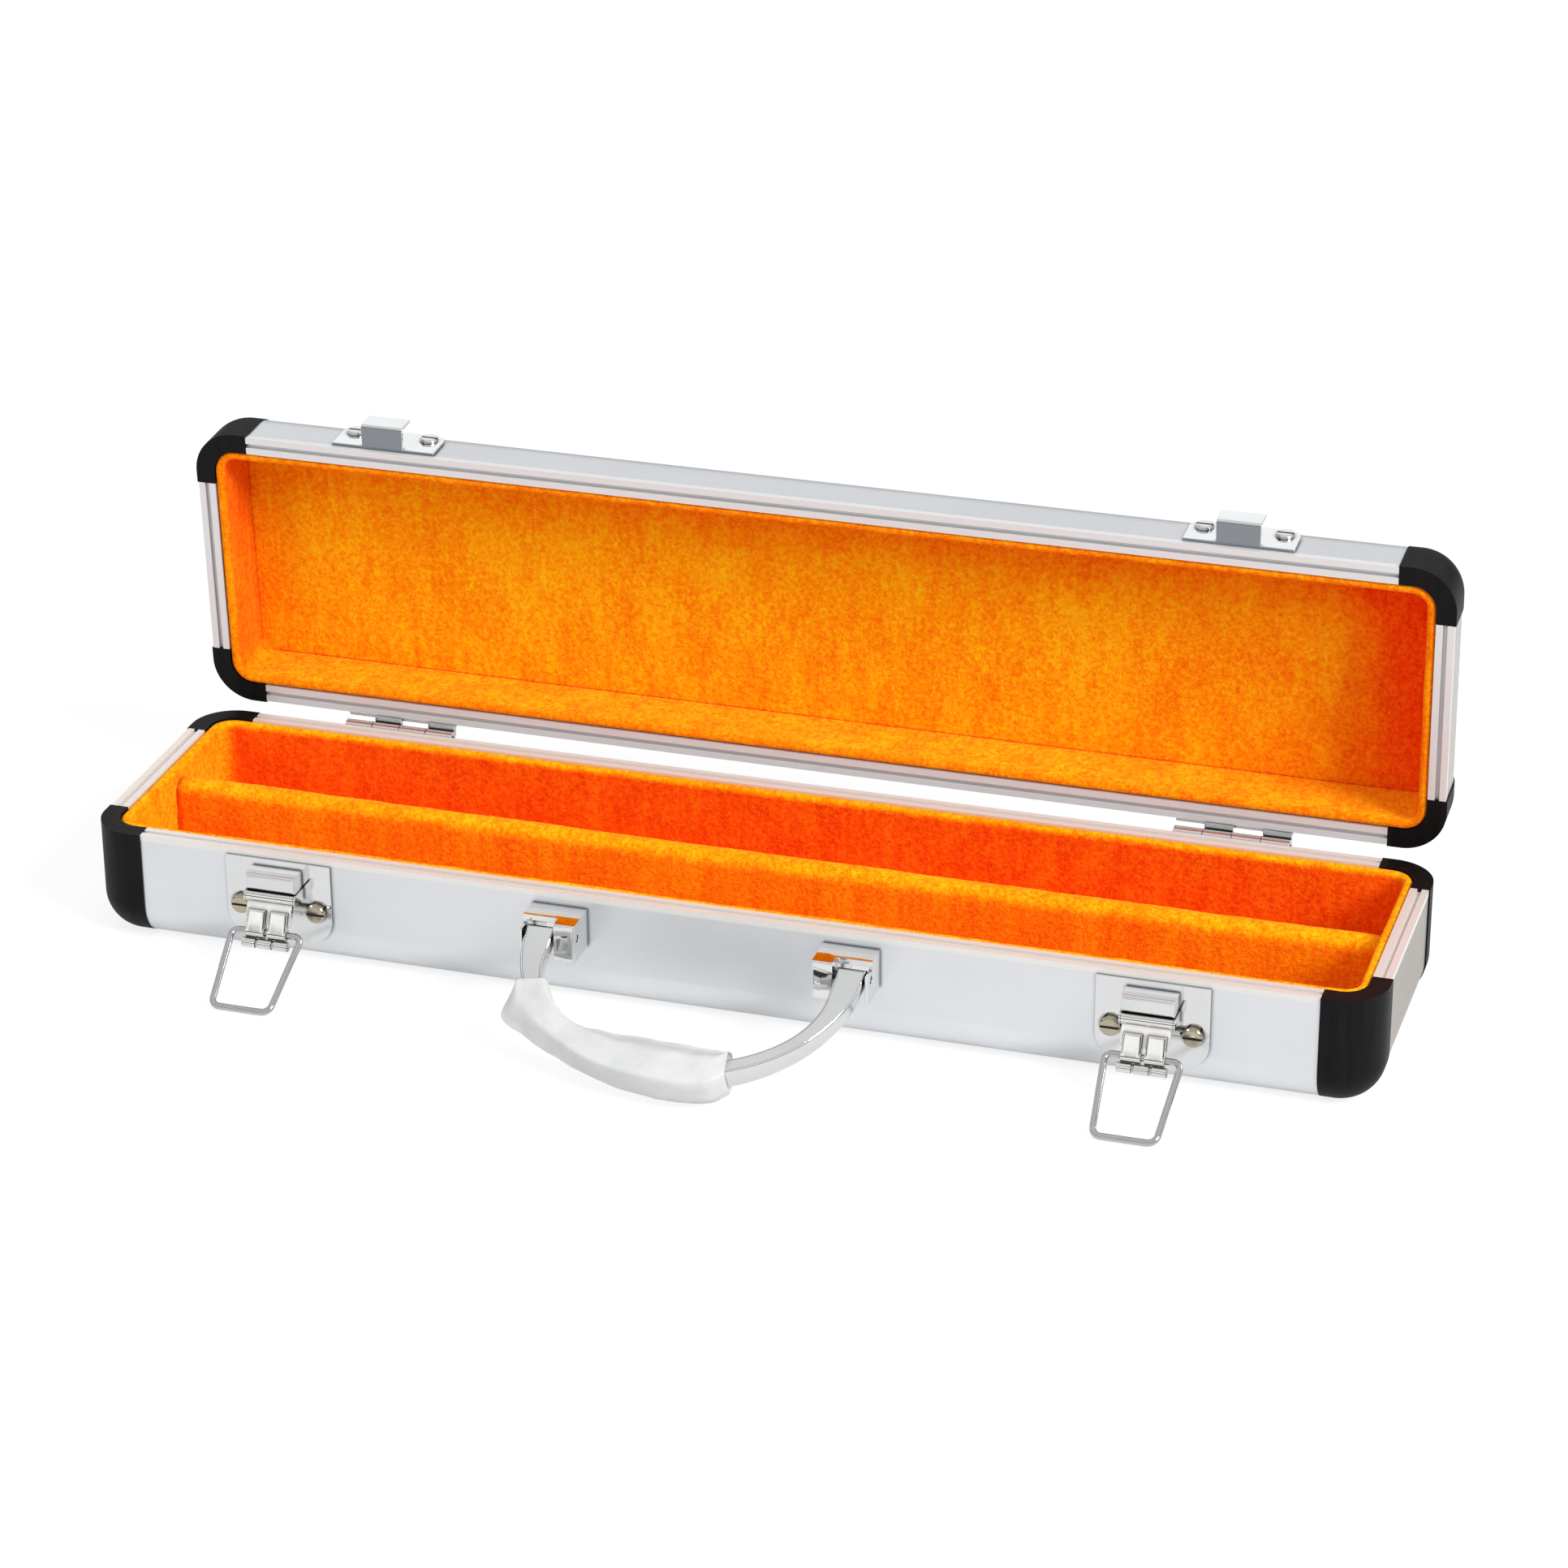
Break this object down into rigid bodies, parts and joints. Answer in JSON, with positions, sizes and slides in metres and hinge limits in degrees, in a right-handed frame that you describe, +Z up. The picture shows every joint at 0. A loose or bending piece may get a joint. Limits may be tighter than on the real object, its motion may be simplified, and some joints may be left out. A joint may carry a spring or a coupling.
{
  "type": "flute case",
  "caption": "Long slim metal flute case with rounded plastic corners, a padded plush interior with a long divider, an opening lid, draw latches and a folding carry handle.",
  "frame": {"origin": "centre of the flat bottom face of the base, where it rests on a table", "axes": "+X along the case's length towards its right end, +Y from the latch side towards the hinge side, +Z up"},
  "size_m": [0.431, 0.1935, 0.1501],
  "materials": {
    "shell_aluminium": "satin, smooth, with a faint brushed grain",
    "corner_plastic": "black, semi-gloss",
    "plush": "short orange plush",
    "plush_divider": "short orange plush over a padded bar",
    "hinge_steel": "plated, satin",
    "latch_plate": "bright plated",
    "latch_lever": "bright plated, slightly warm",
    "bail_wire": "bright plated wire",
    "pin_steel": "plain steel",
    "screw_brass": "brass plated, polished",
    "catch_steel": "bright plated",
    "bracket_chrome": "bright plated",
    "handle_chrome": "bright plated",
    "wrap_film": "thin, clear to milky, wrinkled"
  },
  "bodies": {
    "base": {"base_frame_front": "shell_aluminium", "base_frame_rear": "shell_aluminium", "base_frame_left": "shell_aluminium", "base_frame_right": "shell_aluminium", "base_corner_front_left": "corner_plastic", "base_corner_front_right": "corner_plastic", "base_corner_rear_left": "corner_plastic", "base_corner_rear_right": "corner_plastic", "base_bottom_panel": "shell_aluminium", "base_lining_front": "plush", "base_lining_rear": "plush", "base_lining_left": "plush", "base_lining_right": "plush", "base_lining_floor": "plush", "base_divider": "plush_divider", "hinge_base_leaf_left": "hinge_steel", "hinge_base_leaf_right": "hinge_steel", "hinge_pin_left": "hinge_steel", "hinge_pin_right": "hinge_steel", "hinge_base_rivets": "hinge_steel", "latch_plate_left": "latch_plate", "latch_plate_right": "latch_plate", "latch_pin_left": "pin_steel", "latch_pin_right": "pin_steel", "latch_screws": "screw_brass", "handle_bracket_left": "bracket_chrome", "handle_bracket_right": "bracket_chrome", "handle_pins": "pin_steel", "handle_bracket_rivets": "bracket_chrome"},
    "lid": {"lid_frame_rear": "shell_aluminium", "lid_frame_front": "shell_aluminium", "lid_frame_left": "shell_aluminium", "lid_frame_right": "shell_aluminium", "lid_corner_rear_left": "corner_plastic", "lid_corner_rear_right": "corner_plastic", "lid_corner_front_left": "corner_plastic", "lid_corner_front_right": "corner_plastic", "lid_top_panel": "shell_aluminium", "lid_lining_rear": "plush", "lid_lining_front": "plush", "lid_lining_left": "plush", "lid_lining_right": "plush", "lid_lining_panel": "plush", "hinge_lid_leaf_left": "hinge_steel", "hinge_lid_leaf_right": "hinge_steel", "hinge_lid_rivets": "hinge_steel", "lid_catch_left": "catch_steel", "lid_catch_right": "catch_steel", "lid_catch_screws": "screw_brass"},
    "latch_lever_left_body": {"latch_lever_left": "latch_lever"},
    "latch_bail_left_body": {"latch_bail_left": "bail_wire"},
    "latch_lever_right_body": {"latch_lever_right": "latch_lever"},
    "latch_bail_right_body": {"latch_bail_right": "bail_wire"},
    "handle": {"handle_strap": "handle_chrome", "handle_film_sleeve": "wrap_film"}
  },
  "joints": [
    {"name": "lid_hinge", "type": "hinge", "parent": "base", "child": "lid", "pos_m": [0, 0.054, 0.037], "axis": [1, 0, 0], "range_deg": [0, 86.85]},
    {"name": "latch_lever_left_pivot", "type": "hinge", "parent": "base", "child": "latch_lever_left_body", "pos_m": [-0.1476, -0.0572, 0.0272], "axis": [1, 0, 0], "range_deg": [-100, 20.5]},
    {"name": "latch_bail_left_pivot", "type": "hinge", "parent": "latch_lever_left_body", "child": "latch_bail_left_body", "pos_m": [-0.1476, -0.06192, 0.0166], "axis": [-1, 0, 0], "range_deg": [-60, 146.4]},
    {"name": "latch_lever_right_pivot", "type": "hinge", "parent": "base", "child": "latch_lever_right_body", "pos_m": [0.1444, -0.0572, 0.0272], "axis": [1, 0, 0], "range_deg": [-100, 20.5]},
    {"name": "latch_bail_right_pivot", "type": "hinge", "parent": "latch_lever_right_body", "child": "latch_bail_right_body", "pos_m": [0.1444, -0.06192, 0.0166], "axis": [-1, 0, 0], "range_deg": [-60, 146.4]},
    {"name": "handle_pivot", "type": "hinge", "parent": "base", "child": "handle", "pos_m": [-0.0016, -0.0603, 0.0296], "axis": [-1, 0, 0], "range_deg": [-60, 30]}
  ]
}
